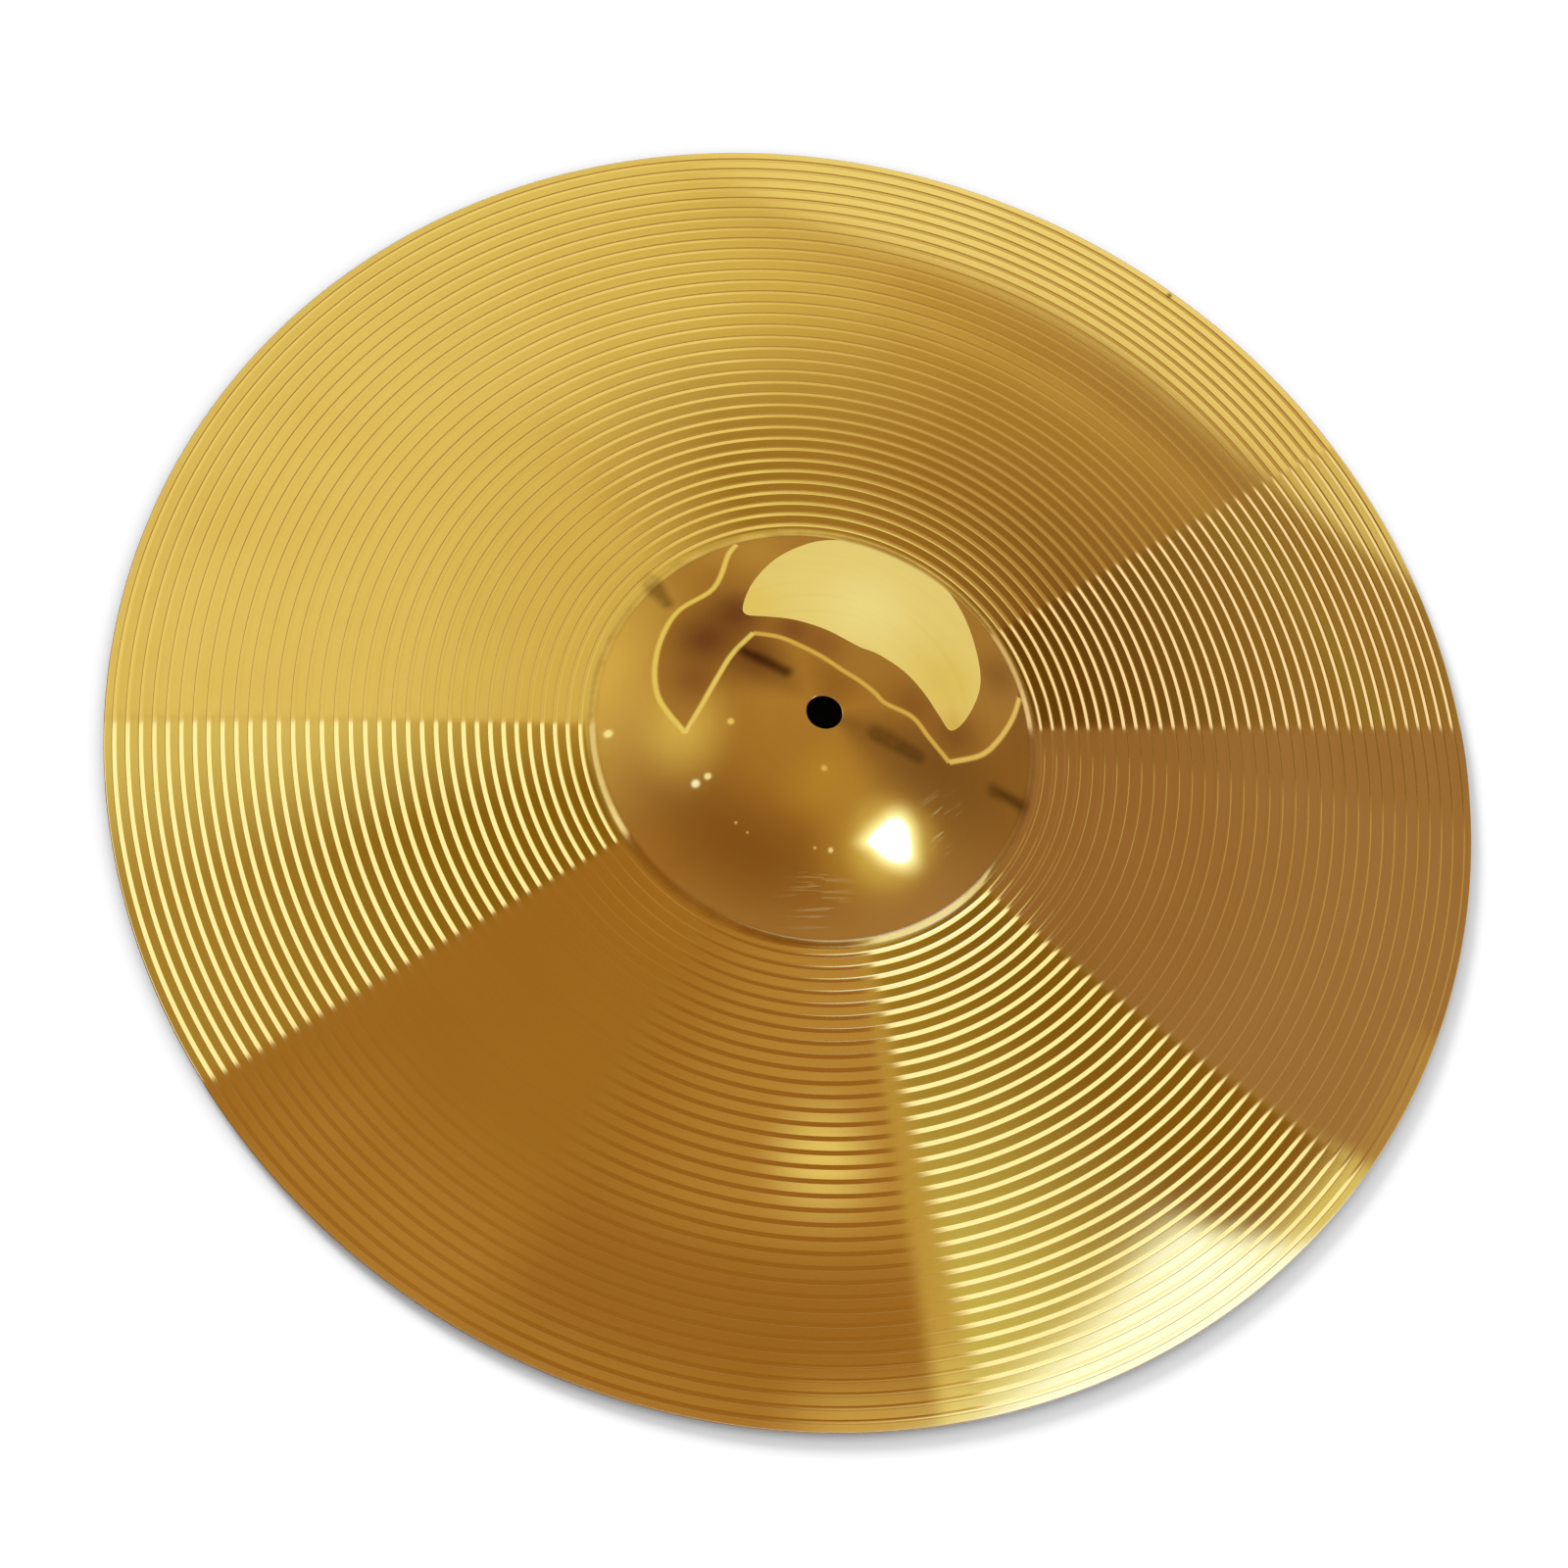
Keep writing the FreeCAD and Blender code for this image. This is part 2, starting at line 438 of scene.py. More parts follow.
def brass_colour(marks):
    radius, mottle = marks.radius, marks.mottle
    crease = radius.band(R_BELL - 0.0018, R_BELL + 0.0012, 0.0007)
    colour = layers(
        mix(marks.cloud.ramp(0.40, 0.68), BRASS, brass(0.955, 0.930, 0.86)),      # tarnish clouds
        (marks.coarse.ramp(0.45, 0.75) * 0.22, brass(0.90, 0.86, 0.72)),          # tool marks
        (marks.grain.ramp(0.44, 0.74) * marks.bow * 0.30, brass(0.88, 0.85, 0.74)),
        (mottle.ramp(0.56, 0.78) * marks.bell * 0.30, brass(0.86, 0.80, 0.66)),   # warm mottling
        (radius.ramp(R_RIM - 0.0012, R_RIM - 0.0002) * 0.35, (0.95, 0.74, 0.32)),  # paler brass along the rim's edge
        # tarnish collects in the crease
        (crease * (0.48 + mottle.ramp(0.40, 0.60) * 0.34), brass(0.62, 0.52, 0.36)),
        (spot(marks, NICK, 0.0016) * 0.85, (0.10, 0.05, 0.02)))
    for *lengths, strength in SMUDGES:
        *ends, wide = [share * R_RIM for share in lengths]
        colour = mix(smudge(marks, ends, wide, strength), colour, brass(0.26, 0.19, 0.14))
    return colour


def turned_shader(net, marks, colour):
    """The lathed bow: satin, its highlights drawn out by the tool marks."""
    height = marks.fine + marks.grain * 0.6 - spot(marks, DENT, 0.0022) * 45.0
    # the crease is a little rougher than the rest
    satin = marks.radius.band(R_BELL - 0.0014, R_BELL + 0.0018, 0.0006)
    return net.metal(
        Base_Color=colour,
        Roughness=0.055 + satin * 0.07 + (marks.coarse - 0.5) * 0.035,
        Anisotropic=0.80,
        Tangent=net.vector(marks.x, marks.y).vector_math("NORMALIZE"),
        Normal=net.bump(height, strength=marks.bow * 0.085, distance=0.000012))


def scratches(net, marks, centre, turn, reach, stretch, scale, ends):
    """Mask of a patch of parallel hairlines; ends are the noise levels they fade between."""
    place = net.get("ShaderNodeMapping", 0, {
        "Vector": marks.place, "Rotation": (0.0, 0.0, math.radians(turn)),
        "Scale": (1.0, 1.0 / stretch, 1.0)}, vector_type="TEXTURE")
    lines = place.noise(scale=scale, detail=2.0, roughness=0.4)
    return lines.ramp(*ends) * spot(marks, centre, reach)


def bell_shader(net, marks, colour):
    """The polished bell: a mirror under a thin haze, thicker in two scratched patches."""
    ripple = marks.place.noise(scale=55.0, detail=2.0, roughness=0.5)
    mirror = net.metal(Base_Color=colour, Roughness=0.0,
                       Normal=net.bump(ripple, strength=0.10, distance=0.00006))
    haze = net.metal(Base_Color=colour, Roughness=0.24 + marks.mottle * 0.14)
    lower = scratches(net, marks, polar(R_RIM * 0.250, 291), turn=26, reach=0.0165,
                      stretch=14.0, scale=70.0, ends=(0.56, 0.63))
    right = scratches(net, marks, polar(R_RIM * 0.225, 345), turn=62, reach=0.014,
                      stretch=10.0, scale=90.0, ends=(0.60, 0.66))
    share = net.math("ADD", 0.045, lower.math("MAXIMUM", right) * 0.36, clamp=True)
    return mix_shader(share, mirror, haze)


def brass_material():
    material, net = new_material("brass_turned")
    marks = brass_marks(net)
    colour = brass_colour(marks)
    net.surface(mix_shader(marks.bell, turned_shader(net, marks, colour),
                           bell_shader(net, marks, colour)))
    return material


cymbal.data.materials.append(brass_material())

# ---------------------------------------------------------------- camera
TILT = math.radians(25.243)       # of the view from straight down, towards -Y
ROLL = math.radians(24.419)       # of the camera round its own axis
CAMERA_DISTANCE = 7.5             # in rim radii, as are the two shifts
SHIFT_RIGHT, SHIFT_UP = -0.0264, -0.0341
LENS_MM = 119.539125

level_right = Vector((1, 0, 0))
level_up = Vector((0, math.cos(TILT), math.sin(TILT)))
back = Vector((0, -math.sin(TILT), math.cos(TILT)))
right = math.cos(ROLL) * level_right + math.sin(ROLL) * level_up
up = -math.sin(ROLL) * level_right + math.cos(ROLL) * level_up
rim_z = Z_BOW + math.sqrt(BOW_SPHERE ** 2 - R_RIM ** 2)
camera_place = Vector((0, 0, rim_z)) + R_RIM * (
    SHIFT_RIGHT * right + SHIFT_UP * up + CAMERA_DISTANCE * back)

camera = add_object("camera", bpy.data.cameras.new("camera"))
camera.matrix_world = (Matrix.Translation(camera_place)
                       @ Matrix((right, up, back)).transposed().to_4x4())
camera.data.sensor_width = 36.0
camera.data.lens = LENS_MM
camera.data.clip_start = 0.01
camera.data.clip_end = 200.0
scene.camera = camera

scene.view_settings.view_transform = "Standard"
scene.view_settings.look = "None"
scene.view_settings.exposure = 0.0
scene.view_settings.gamma = 1.0

# ---------------------------------------------------------------- studio: what the bow mirrors
# The studio is described by facets: the facet (azimuth, tilt from +Z, in degrees) of the cymbal
# that mirrors a point of the studio into the camera. A card or a tone is placed by the facet
# that should show it. Radii are shares of R_RIM. "wall" tones are shown by the long groove
# walls, the others by the flat lands.
VIEW = (camera_place - Vector((0, 0, -0.018))).normalized()

BROWN = tone(158, 104, 31)
WARM = tone(154, 107, 49)
GOLD = tone(217, 181, 84)
UMBER = tone(118, 76, 14)
GLARE = scaled(1.10, tone(255, 235, 157))
GLINT = scaled(1.10, tone(248, 213, 152))
HOT = scaled(1.12, tone(255, 252, 212))


def blob(angle, azimuth, half_width, radius, centre, half_depth):
    """Soft spot round (azimuth, centre), 1 in its middle."""
    apart = (angle - azimuth).math("ABSOLUTE")
    apart = apart.math("MINIMUM", 360.0 - apart)
    return length(apart / half_width, (radius - centre) / half_depth).ramp(1.0, 0.0)


def golden(angle, radius, low, high, wall):
    """The golden sector: brown at its start, gold at its end, with curved bands near the rim."""
    if wall:
        inner = angle.stops((57, 172, 126, 60), (90, 188, 143, 68), (117, 216, 176, 84),
                            (124, 236, 198, 103), (145, 236, 198, 103), (158, 212, 172, 77))
        outer = angle.stops((57, 180, 136, 58), (90, 202, 160, 68), (117, 222, 184, 88),
                            (124, 236, 203, 105), (145, 236, 203, 105), (158, 224, 189, 92))
        lobe = angle.stops((48, 200, 167, 80), (70, 200, 166, 78), (97, 212, 184, 92),
                           (124, 226, 196, 100))
    else:
        inner = angle.stops((57, 130, 84, 26), (105, 156, 110, 34), (128, 154, 110, 31),
                            (157, 210, 170, 75))
        outer = angle.stops((57, 158, 112, 44), (90, 178, 132, 50), (120, 210, 172, 74),
                            (157, 223, 189, 92))
        lobe = angle.stops((48, 232, 200, 110), (70, 238, 206, 113), (97, 240, 211, 118),
                           (124, 231, 199, 101))
    lift = (8, 8, 9) if wall else (0, 0, 0)

    def lifted(*display):
        return tone(*map(sum, zip(display, lift)))

    arc = angle.stops((57, 175, 130, 56), (75, 184, 140, 56), (122, 216, 179, 81), light=lifted)
    dark = angle.stops((57, 152, 106, 44), (75, 159, 112, 46), (97, 184, 136, 53),
                       (122, 210, 172, 77), light=lifted)
    gold = radius.stops((0.36, 212, 173, 76), (0.62, 223, 188, 90), (0.96, 228, 194, 96))
    return layers(
        mix(radius.ramp(0.42, 0.74), inner, outer),
        (low.band(0.700, 0.742, 0.016) * angle.ramp(130, 114), arc),
        (low.ramp(0.742, 0.760) * angle.ramp(136, 118), dark),
        (angle.ramp(150, 162), gold),
        (radius.ramp(0.88, 0.96) * angle.ramp(112, 126),
         tone(236, 203, 104) if wall else tone(220, 187, 90)),
        (high.ramp(0.833, 0.850), lobe))


def crossed(radius, low, high, wall):
    """The sector at 29..57 degrees, crossed by the same bands."""
    if wall:
        base, arc, lobe = GLINT, tone(241, 214, 128), tone(240, 212, 126)
    else:
        base = mix(radius.ramp(0.35, 0.90), tone(100, 60, 7), tone(149, 109, 40))
        arc, lobe = tone(150, 121, 42), tone(214, 182, 92)
    return layers(base, (low.band(0.702, 0.738, 0.014) * 0.75, arc),
                  (high.ramp(0.833, 0.852), lobe))


def glare_sector(angle, radius, wall):
    """The sector at 204..236 degrees."""
    if wall:
        return GLARE
    return mix(angle.ramp(203, 221),
               mix(radius.ramp(0.35, 0.75), tone(172, 130, 38), tone(216, 186, 88)),
               mix(radius.ramp(0.45, 1.0), tone(133, 93, 14), tone(166, 126, 41)))


def lower_brown(shade, angle, radius, wall):
    """The brown sector at 240..304 degrees, with a soft glow on its lands."""
    if wall:
        shade = mix(angle.band(266, 302.5, 4.0), shade, tone(150, 95, 26))
    else:
        shade = layers(
            shade,
            (angle.band(240, 266, 6) * radius.ramp(0.70, 0.95), tone(174, 120, 44)),
            (angle.ramp(260, 290) * angle.ramp(304.5, 303.5) * radius.ramp(0.82, 0.70),
             tone(180, 129, 50)),
            (blob(angle, 294, 10, radius, 0.62, 0.11) * 0.95, tone(238, 206, 104)),
            (angle.band(266, 302, 5) * radius.ramp(0.70, 0.80) * radius.ramp(0.98, 0.88) * 0.60,
             tone(152, 97, 34)),
            (angle.band(266, 300, 5) * radius.ramp(0.90, 0.98), tone(170, 117, 44)))
    return mix(angle.band(292, 304, 4) * radius.ramp(0.91, 0.99) * 0.75, shade,
               tone(214, 172, 78))


def lamp_sector(shade, angle, radius, wall):
    """The bright sector at 302..346 degrees: plain strip, clean edge, broad glare at the rim."""
    strip = radius.stops((0.36, 180, 136, 49), (0.88, 193, 151, 59), (0.99, 232, 204, 104))
    edge = angle - (338.3 + radius * 8.0)
    if wall:
        bright = GLARE
        begun = (angle - (305.0 + radius * 2.6)).ramp(-1.3, 1.3)
    else:
        bright = mix(angle.ramp(307, 335),
                     mix(radius.ramp(0.38, 0.88), tone(154, 114, 28), tone(198, 174, 74)),
                     mix(radius.ramp(0.38, 0.88), tone(130, 89, 15), tone(130, 84, 12)))
        begun = angle.ramp(304.5, 308.5)
    # the glare widens towards the rim between these sides, soft at the first, clean at the second
    first = angle - (327.0 - (radius - 0.865) * 145.0)
    second = angle - (329.5 + (radius - 0.865) * 59.0)
    return layers(
        shade,
        (angle.ramp(302.2, 304.4) * edge.ramp(0.7, -0.9), strip),
        (begun * edge.ramp(0.5, -0.7), bright),
        (radius.ramp(0.940, 0.972) * angle.ramp(306, 312) * edge.ramp(1.6, -0.4),
         GLARE if wall else tone(226, 200, 104)),
        (first.ramp(-9.0, 1.0) * second.ramp(2.5, -0.5) * radius.ramp(0.825, 0.885),
         tone(240, 222, 128)),
        (first.ramp(-3.0, 3.0) * second.ramp(1.0, -1.2) * radius.ramp(0.858, 0.885), HOT))


def bow_tones(angle, bend, radius, wall):
    """All that the bow mirrors. bend is the square of the angle from the bands' top."""
    low = radius - bend * 5.2e-5             # radius straightened along the lower band
    high = radius - bend * bend * 6.0e-8     # and along the higher one
    plain = mix(radius.ramp(0.36, 0.80), tone(148, 100, 44), tone(157, 110, 54))
    shade = layers(
        mix(angle.band(28.75, 342, 1.0), plain, BROWN),
        (angle.band(57.3, 203.75, 0.4), golden(angle, radius, low, high, wall)),
        (angle.band(28.9, 57.3, 0.45), crossed(radius, low, high, wall)),
        (angle.band(203.75, 235.6, 0.35), glare_sector(angle, radius, wall)))
    shade = lower_brown(shade, angle, radius, wall)
    shade = lamp_sector(shade, angle, radius, wall)
    rim_band = radius.ramp(0.955, 0.99) * angle.band(346, 359.9, 2)
    return mix(rim_band * 0.7, shade, tone(184, 141, 64))


def steep_tones(angle):
    """Tones of the short steep walls, which look across the bell."""
    across = (angle + 180.0).math("FLOORED_MODULO", 360.0)
    shade = mix(across.band(57.3, 203.75, 0.5), WARM,
                mix(across.ramp(90, 150), tone(132, 88, 28), tone(196, 156, 64)))
    for start, end, soft, colour in (
            (203.75, 235.7, 0.5, UMBER), (235.7, 303, 0.5, BROWN), (264, 303, 4, tone(140, 86, 24)),
            (303, 344, 0.5, UMBER), (29, 57, 0.5, UMBER), (150, 203.5, 3, GOLD)):
        shade = mix(across.band(start, end, soft), shade, colour)
    return shade


def echo_tones(angle):
    """Light bounced twice inside a groove is dimmed twice by the brass, so its tones are lifted."""
    def twice(*display):
        return tuple(light / channel for light, channel in zip(tone(*display), BRASS))

    return angle.stops(
        (0, 168, 124, 54), (203, 186, 144, 62), (205, 130, 90, 18), (235, 130, 90, 18),
        (238, 170, 123, 47), (300, 180, 138, 56), (345, 170, 126, 54), (360, 168, 124, 54),
        light=twice)


# soft spots in the bell: azimuth, half-width, radius, half-depth, strength, display colour
BELL_SPOTS = (
    (92, 80, 0.05, 0.10, 0.80, (138, 88, 27)),
    (262, 62, 0.225, 0.115, 0.95, (128, 78, 22)),
    (2, 46, 0.16, 0.36, 0.85, (110, 68, 23)),
    (188, 50, 0.33, 0.17, 0.97, (212, 170, 72)),
    (208, 34, 0.200, 0.090, 0.9, (212, 172, 70)),
    (296, 46, 0.10, 0.085, 0.8, (184, 134, 42)),
    (316, 34, 0.195, 0.105, 0.85, (190, 144, 48)),
    (322, 24, 0.203, 0.080, 0.92, (232, 198, 88)),
    (162, 34, 0.135, 0.125, 0.97, (104, 54, 18)),
    (38, 36, 0.30, 0.075, 0.8, (116, 70, 22)),
    (130, 26, 0.305, 0.06, 0.6, (196, 150, 60)),
)


def bell_tones(angle, tilt):
    # 0.609 turns the sine of the tilt into the radius on the bell
    radius = tilt.math("RADIANS").math("SINE") * 0.609
    shade = mix(radius.ramp(0.05, 0.22), tone(169, 117, 41), tone(155, 103, 34))
    for azimuth, half_width, centre, half_depth, strength, display in BELL_SPOTS:
        mask = blob(angle, azimuth, half_width, radius, centre, half_depth)
        shade = mix(mask * strength, shade, tone(*display))
    return shade


def studio_world():
    world = bpy.data.worlds.new("studio")
    scene.world = world
    world.use_nodes = True
    net = Net(world.node_tree)
    direction = net.get("ShaderNodeTexCoord", "Generated")
    x, y, z = direction.split()

    # the studio repeats itself, upside down, a little below the horizon
    folded = net.vector(x, y, (z + 0.32).math("ABSOLUTE") - 0.32)
    facet = folded.vector_math("ADD", tuple(VIEW)).vector_math("NORMALIZE")
    facet_x, facet_y, facet_z = facet.split()
    facet_angle = facet_y.math("ARCTAN2", facet_x).math("DEGREES").math("FLOORED_MODULO", 360.0)
    tilt = facet_z.math("MINIMUM", 1.0).math("ARCCOSINE").math("DEGREES")

    # the camera is near, so it sees each facet slightly turned; this undoes it
    sine = facet_angle.math("RADIANS").math("SINE")
    turn = (facet_angle * 2.0).math("RADIANS").math("SINE") * (1.6 + sine * 0.6)
    angle = facet_angle + turn * tilt.ramp(15.0, 18.0, 1.0, 0.5)
    # the tilt at the rim, and the radii on the bow whose land or long wall shows this tilt
    full = 15.4 - (sine * sine * 0.75 + sine * 0.35)
    land_radius = tilt / full
    wall_radius = (tilt - tilt.ramp(15.9, 17.3, 0.0, 12.6)) / full
    from_top = angle - 83.5
    bend = from_top * from_top

    ray = {out.name: Value(net, out) for out in net.node("ShaderNodeLightPath").outputs}
    painted = layers(
        mix(tilt.ramp(15.9, 17.3), bow_tones(angle, bend, land_radius, wall=False),
            bow_tones(angle, bend, wall_radius, wall=True)),
        (tilt.ramp(34.0, 36.0), steep_tones(angle)),
        (ray["Glossy Depth"].math("GREATER_THAN", 1.5), echo_tones(angle)),
        (ray["Is Singular Ray"], bell_tones(facet_angle, tilt)))
    mirrored_light = net.get("ShaderNodeBackground", 0, {"Color": painted})

    # white from above for all else, but for the camera's own dark side, which leaves the hole black
    facing = direction.vector_math("DOT_PRODUCT", tuple(VIEW), output="Value")
    white_light = net.get("ShaderNodeBackground", 0, {
        "Color": (1.0, 1.0, 1.0),
        "Strength": z.ramp(0.0, 0.06) * facing.ramp(0.945, 0.978, 0.91, 0.06)})
    seen = ray["Is Glossy Ray"] * ray["Diffuse Depth"].math("LESS_THAN", 0.5)
    net.surface(mix_shader(seen, white_light, mirrored_light), "ShaderNodeOutputWorld")


studio_world()


# ---------------------------------------------------------------- studio: cards the bell mirrors
# Cards are drawn in the plane of the bell, in shares of R_RIM, and thrown out to a distance in
# metres along the mirrored view. A nearer card covers a farther one.
def far_point(point, distance):
    """Place of the studio that the bell shows at this point."""
    x, y = point
    share = math.hypot(x, y)
    tilt = math.degrees(math.asin(min(0.999, share * R_RIM / BELL_SPHERE))) + 4.0 * share
    tilt = math.radians(tilt)
    azimuth = math.atan2(y, x)
    facet = Vector((math.sin(tilt) * math.cos(azimuth), math.sin(tilt) * math.sin(azimuth),
                    math.cos(tilt)))
    return (2 * facet.dot(VIEW) * facet - VIEW) * distance


def glow_material(name, colour):
    """Light that only the polished bell mirrors. With no colour, attribute "glow" gives it."""
    material, net = new_material(name)
    if colour is None:
        colour = net.get("ShaderNodeAttribute", "Color", attribute_name="glow")
    soft = net.get("ShaderNodeAttribute", "Fac", attribute_name="soft")
    shown = net.get("ShaderNodeLightPath", "Is Singular Ray") * soft
    net.surface(mix_shader(shown, net.get("ShaderNodeBsdfTransparent", 0),
                           net.get("ShaderNodeEmission", 0, {"Color": colour})))
    return material


def stage_glow(name, mesh, soft, colour=None, tones=None):
    """Stage a glowing mesh; soft (and tones, if given) hold a value for each vertex."""
    attribute = mesh.attributes.new("soft", "FLOAT", "POINT")
    attribute.data.foreach_set("value", np.array(soft, dtype=np.float32))
    if tones:
        attribute = mesh.attributes.new("glow", "FLOAT_COLOR", "POINT")
        rgba = np.array([(*light, 1.0) for light in tones], dtype=np.float32)
        attribute.data.foreach_set("color", rgba.ravel())
    mesh.materials.append(glow_material(name, colour))
    glow = add_object(name, mesh)
    glow.visible_camera = False
    glow.visible_diffuse = False
    glow.visible_shadow = False
    glow.visible_volume_scatter = False


def stage_faces(name, verts, faces, soft, colour):
    mesh = bpy.data.meshes.new(name)
    mesh.from_pydata([tuple(vert) for vert in verts], [], faces)
    stage_glow(name, mesh, soft, colour)


def smooth(points, closed=True, steps=6):
    """Catmull-Rom curve, in x and y, through points of (azimuth, radius)."""
    points = [polar(radius, azimuth) for azimuth, radius in points]
    count = len(points)
    curve = []
    for i in range(count if closed else count - 1):
        near = [points[(i + j) % count] if closed else points[min(max(i + j, 0), count - 1)]
                for j in (-1, 0, 1, 2)]
        for step in range(steps):
            t = step / steps
            curve.append(tuple(
                0.5 * (2 * b + (c - a) * t + (2 * a - 5 * b + 4 * c - d) * t * t
                       + (3 * b - a - 3 * c + d) * t ** 3)
                for a, b, c, d in zip(*near)))
    if not closed:
        curve.append(points[-1])
    return curve


def middle_of(outline):
    return tuple(sum(values) / len(outline) for values in zip(*outline))


def grown(outline, factor):
    """The outline scaled about its middle."""
    mid_x, mid_y = middle_of(outline)
    return [(mid_x + (x - mid_x) * factor, mid_y + (y - mid_y) * factor) for x, y in outline]


def card(name, outline, colour, distance, full_to):
    """Fan of rings round the middle of the outline, fading out beyond full_to of its size."""
    rings, count = 8, len(outline)
    verts, faces, soft = [far_point(middle_of(outline), distance)], [], [1.0]
    for ring in range(1, rings + 1):
        share = ring / rings
        verts += [far_point(point, distance) for point in grown(outline, share)]
        faded = 0.0 if share <= full_to else (share - full_to) / (1.0 - full_to)
        soft += [(1.0 - faded) ** 2] * count
    for i in range(count):
        j = (i + 1) % count
        faces.append((0, 1 + i, 1 + j))
        for ring in range(rings - 1):
            inner = 1 + ring * count
            outer = inner + count
            faces.append((inner + i, outer + i, outer + j, inner + j))
    stage_faces(name, verts, faces, soft, colour)


def ribbon(name, points, half_width, colour, distance):
    """A line of light, full along its middle and fading out at both sides."""
    line = smooth(points, closed=False)
    section = ((-1.0, 0.0), (-0.42, 0.9), (0.0, 1.0), (0.42, 0.9), (1.0, 0.0))  # offset, light
    verts, faces, soft, count = [], [], [], len(line)
    for i, (x, y) in enumerate(line):
        before, after = line[max(i - 1, 0)], line[min(i + 1, count - 1)]
        along_x, along_y = after[0] - before[0], after[1] - before[1]
        size = math.hypot(along_x, along_y) or 1.0
        for offset, light in section:
            verts.append(far_point((x - along_y / size * half_width * offset,
                                    y + along_x / size * half_width * offset), distance))
            soft.append(light)
    for i in range(count - 1):
        for j in range(4):
            a = 5 * i + j
            faces.append((a, a + 5, a + 6, a + 1))
    stage_faces(name, verts, faces, soft, colour)


def fill(name, outline, distance, base, spots):
    """Card of any outline, in a base tone with soft spots of (azimuth, radius, width, tone)."""
    mesh = bpy.data.meshes.new(name)
    bm = bmesh.new()
    bm.faces.new([bm.verts.new((x, y, 0.0)) for x, y in outline])
    bm.normal_update()
    bmesh.ops.triangulate(bm, faces=bm.faces[:])
    for _ in range(5):
        long_edges = [edge for edge in bm.edges if edge.calc_length() > 0.022]
        if not long_edges:
            break
        bmesh.ops.subdivide_edges(bm, edges=long_edges, cuts=1)
        bmesh.ops.triangulate(bm, faces=bm.faces[:])
    bm.verts.ensure_lookup_table()
    tones = []
    for vert in bm.verts:
        light = np.array(base)
        for azimuth, radius, width, colour in spots:
            x, y = polar(radius, azimuth)
            share = math.exp(-((vert.co.x - x) ** 2 + (vert.co.y - y) ** 2) / (2 * width * width))
            light = light * (1 - share) + np.array(colour) * share
        tones.append(tuple(light))
        vert.co = far_point(vert.co.xy, distance)
    bm.to_mesh(mesh)
    bm.free()
    stage_glow(name, mesh, [1.0] * len(mesh.vertices), tones=tones)


# outlines and lines of (azimuth, radius)
WINDOW = (
    (21.6, .19), (30, .22), (43, .255), (60, .287), (72, .311), (80, .3165), (90, .3185),
    (100, .3165), (106, .312), (114, .298), (125, .27), (136, .237), (145, .207), (147, .19),
    (140, .173), (128, .155), (112, .137), (96, .125), (86, .123), (74, .13), (56, .143),
    (40, .157), (28, .172))
# the darker surround of the window, with an arm that reaches to 212 degrees
SURROUND = (
    (7, .193), (15, .237), (22, .263), (30, .29), (36, .309), (50, .322), (70, .324), (90, .325),
    (110, .323), (130, .316), (138, .300), (149, .255), (164, .262), (180, .252), (196, .233),
    (212, .197), (200, .173), (186, .16), (168, .157), (151, .159), (140, .133), (128, .107),
    (112, .087), (90, .074), (70, .075), (50, .083), (37, .093), (26, .13), (15, .157), (8, .183))
LAMP = (
    (311.8, .193), (314.5, .207), (317, .221), (320, .232), (323.5, .239), (327, .237),
    (329.6, .221), (332.2, .200), (331.4, .182), (327, .174), (322, .176), (316, .182))
# lines of light along the surround: name, half-width, display colour, points
FRAME = (
    ("frame_left", 0.0052, (226, 186, 92),
     ((37, .312), (30, .29), (22, .263), (15, .237), (7, .193))),
    ("frame_low", 0.0050, (214, 170, 72),
     ((7, .193), (15, .157), (26, .13), (37, .093), (50, .083), (70, .075), (90, .074),
      (112, .087), (128, .107), (140, .133), (151, .159))),
    ("frame_side", 0.0050, (232, 200, 96),
     ((151, .159), (168, .157), (186, .16), (200, .173), (212, .197))),
    ("frame_arm", 0.0052, (230, 198, 90),
     ((212, .197), (196, .233), (180, .252), (164, .262), (149, .255), (138, .297),
      (134, .312))),
)
# azimuth, radius, size, display colour
SMALL_LAMPS = (
    (207, .299, .010125, (250, 226, 140)), (233.5, .208, .00945, (252, 240, 186)),
    (233.5, .189, .0081, (248, 226, 150)), (210, .133, .0081, (232, 190, 90)),
    (293, .083, .007425, (222, 176, 84)), (296.6, .197, .006075, (240, 204, 130)),
    (290, .195, .00378, (214, 168, 84)), (256, .203, .00351, (206, 158, 80)),
    (262, .205, .00324, (200, 150, 74)),
)

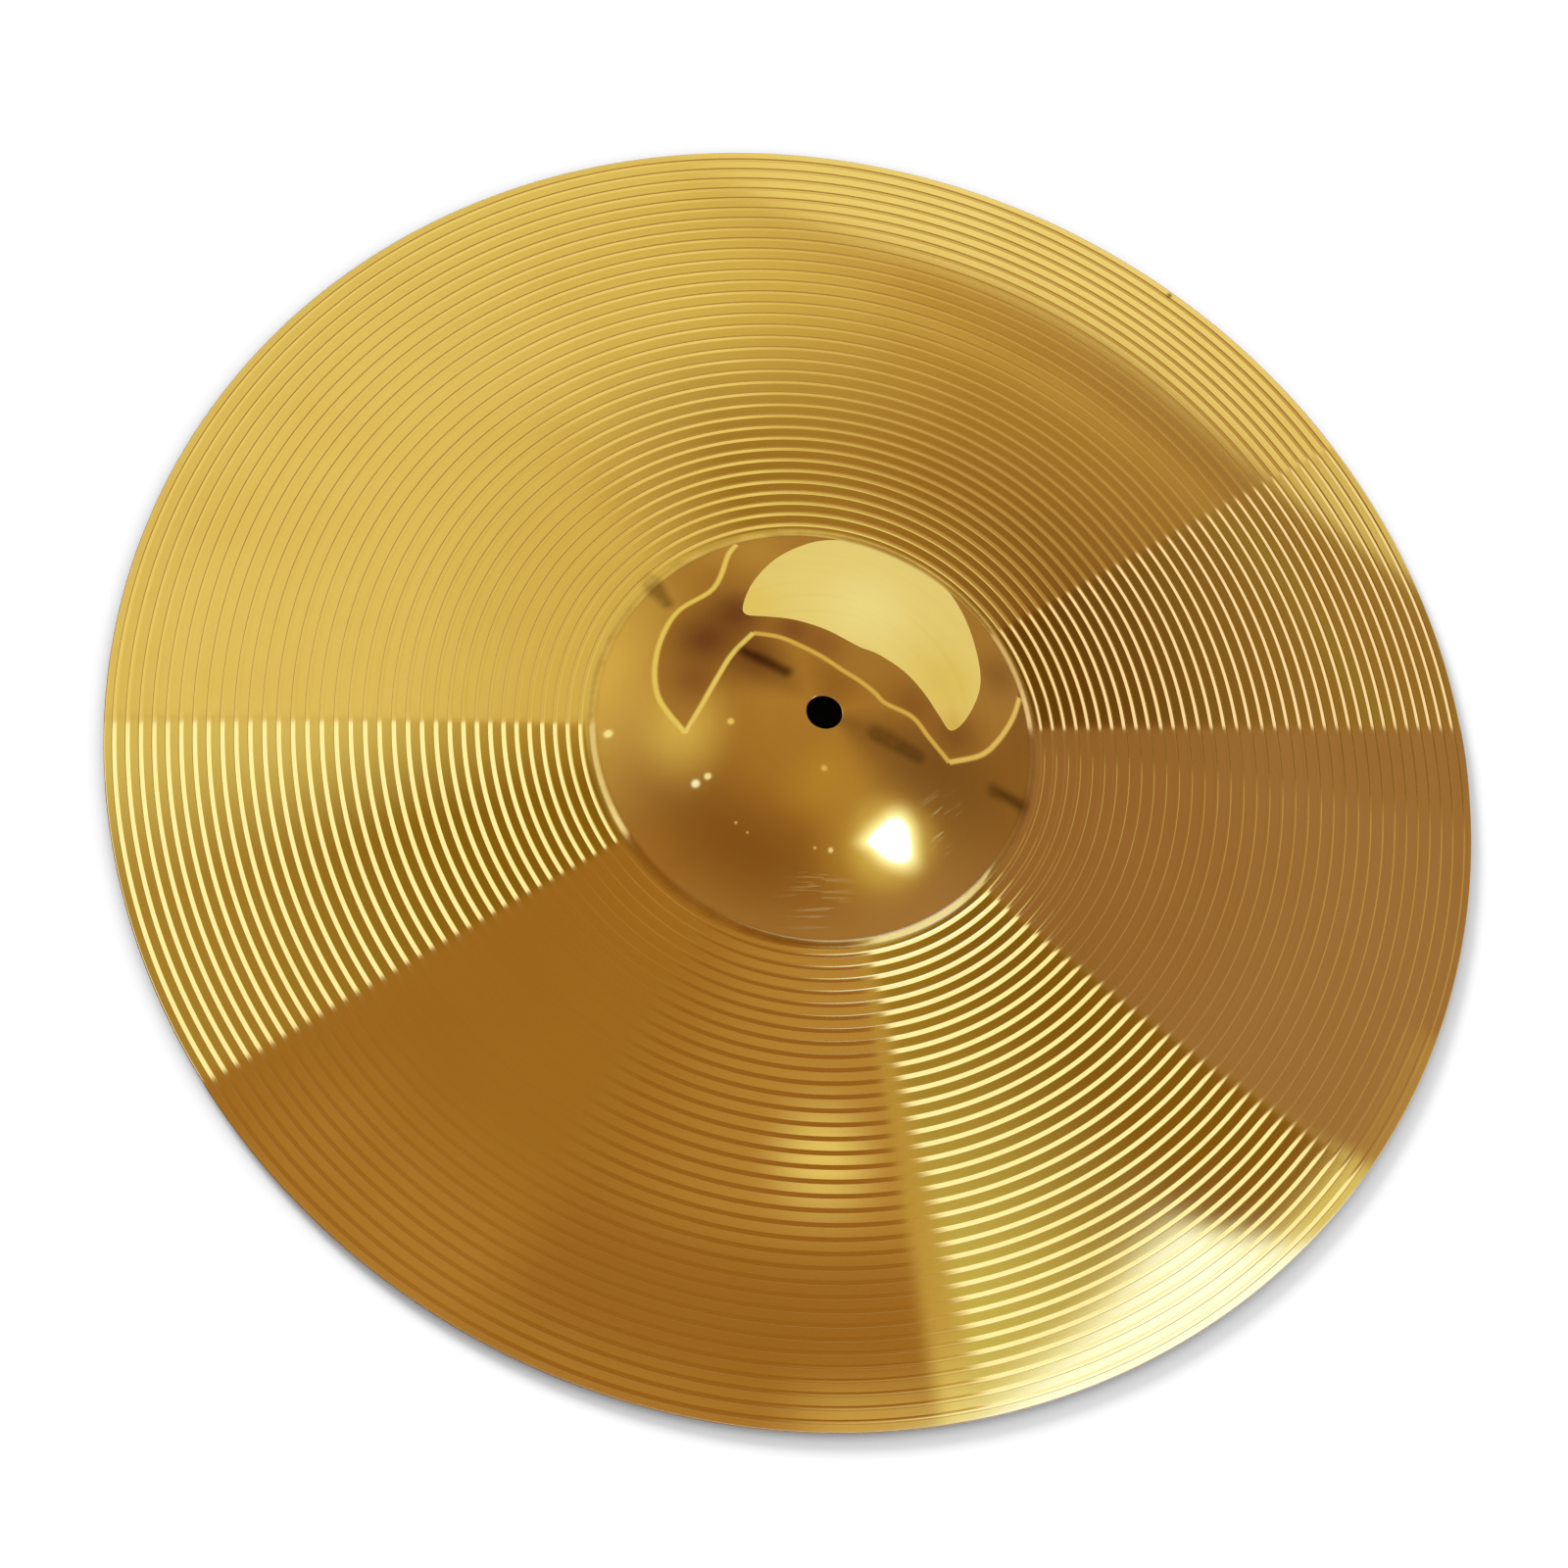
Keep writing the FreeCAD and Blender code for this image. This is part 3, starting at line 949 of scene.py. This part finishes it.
fill("surround", smooth(SURROUND, steps=3), 44.0, tone(160, 110, 40), (
    (168, .200, .034, tone(100, 47, 17)), (150, .200, .030, tone(101, 48, 17)),
    (187, .188, .024, tone(128, 74, 25)), (130, .290, .030, tone(176, 127, 46)),
    (44, .288, .026, tone(132, 85, 29)), (20, .195, .030, tone(124, 78, 26)),
    (34, .135, .030, tone(134, 84, 29)), (112, .110, .022, tone(138, 84, 32)),
    (130, .140, .022, tone(122, 68, 24))))
fill("window", smooth(WINDOW, steps=4), 41.0, tone(228, 202, 111), (
    (92, .190, .050, tone(237, 216, 132)), (44, .200, .040, tone(220, 189, 90)),
    (140, .200, .022, tone(227, 197, 98)), (24, .195, .020, tone(214, 176, 82))))
for name, half_width, display, points in FRAME:
    ribbon(name, points, half_width, tone(*display), distance=40.0)
lamp_outline = smooth(LAMP, steps=3)
card("lamp_bloom", grown(lamp_outline, 1.75), scaled(1.5, tone(255, 246, 168)),
     distance=39.5, full_to=0.45)
card("lamp", lamp_outline, (9.0, 8.8, 8.0), distance=39.0, full_to=0.86)
for i, (azimuth, radius, size, display) in enumerate(SMALL_LAMPS):
    x, y = polar(radius, azimuth)
    outline = [(x + size * math.cos(corner * math.pi / 6), y + size * math.sin(corner * math.pi / 6))
               for corner in range(12)]
    card("lamp_small_%d" % i, outline, tone(*display), distance=38.0, full_to=0.4)


# ---------------------------------------------------------------- key light and floor
def add_key(elevation, azimuth):
    """A low soft sun that gives the floor its shadow."""
    light = bpy.data.lights.new("key", "SUN")
    light.energy = 2.0
    light.angle = math.radians(19)
    key = add_object("key", light)
    x, y = polar(math.cos(elevation), azimuth)
    key.location = Vector((x, y, math.sin(elevation)))
    key.rotation_mode = "QUATERNION"
    key.rotation_quaternion = key.location.to_track_quat("Z", "Y")
    key.visible_glossy = False


def add_floor(z, half):
    """Plain and pale; seen from below it is clear, so that the underside can be looked at."""
    mesh = bpy.data.meshes.new("floor")
    mesh.from_pydata([(-half, -half, z), (half, -half, z), (half, half, z), (-half, half, z)],
                     [], [(0, 1, 2, 3)])
    floor = add_object("floor", mesh)
    material, net = new_material("floor")
    net.surface(mix_shader(net.get("ShaderNodeNewGeometry", "Backfacing"),
                           net.get("ShaderNodeBsdfDiffuse", 0, {"Color": (0.94, 0.94, 0.95)}),
                           net.get("ShaderNodeBsdfTransparent", 0)))
    mesh.materials.append(material)
    floor.visible_glossy = False


add_key(elevation=math.radians(27), azimuth=151)
add_floor(z=cad_lo.z - 0.003, half=60.0)
